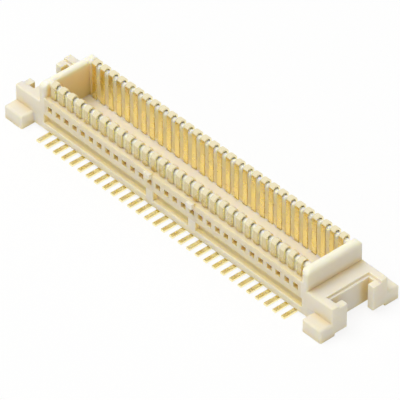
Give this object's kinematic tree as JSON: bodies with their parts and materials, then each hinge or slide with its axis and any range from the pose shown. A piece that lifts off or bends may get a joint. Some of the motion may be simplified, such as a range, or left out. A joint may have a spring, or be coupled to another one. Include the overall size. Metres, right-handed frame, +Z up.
{
  "type": "board to board connector",
  "caption": "Surface-mount board to board connector: long open moulded housing with two facing rows of gold plated contacts, notched end platforms and ears that stand on the board.",
  "frame": {"origin": "on the board's surface, under the middle of the housing", "axes": "+X along the contact rows, +Y across them, +Z up from the board"},
  "size_m": [0.0224, 0.0052, 0.003],
  "materials": {
    "ivory_plastic": "matt, as moulded",
    "gold_plate": "thin gold plating over formed copper alloy sheet"
  },
  "bodies": {
    "root": {"housing": "ivory_plastic", "contact_pair_01": "gold_plate", "contact_pair_02": "gold_plate", "contact_pair_03": "gold_plate", "contact_pair_04": "gold_plate", "contact_pair_05": "gold_plate", "contact_pair_06": "gold_plate", "contact_pair_07": "gold_plate", "contact_pair_08": "gold_plate", "contact_pair_09": "gold_plate", "contact_pair_10": "gold_plate", "contact_pair_11": "gold_plate", "contact_pair_12": "gold_plate", "contact_pair_13": "gold_plate", "contact_pair_14": "gold_plate", "contact_pair_15": "gold_plate", "contact_pair_16": "gold_plate", "contact_pair_17": "gold_plate", "contact_pair_18": "gold_plate", "contact_pair_19": "gold_plate", "contact_pair_20": "gold_plate", "contact_pair_21": "gold_plate", "contact_pair_22": "gold_plate", "contact_pair_23": "gold_plate", "contact_pair_24": "gold_plate", "contact_pair_25": "gold_plate", "contact_pair_26": "gold_plate", "contact_pair_27": "gold_plate", "contact_pair_28": "gold_plate", "contact_pair_29": "gold_plate", "contact_pair_30": "gold_plate"}
  },
  "joints": []
}
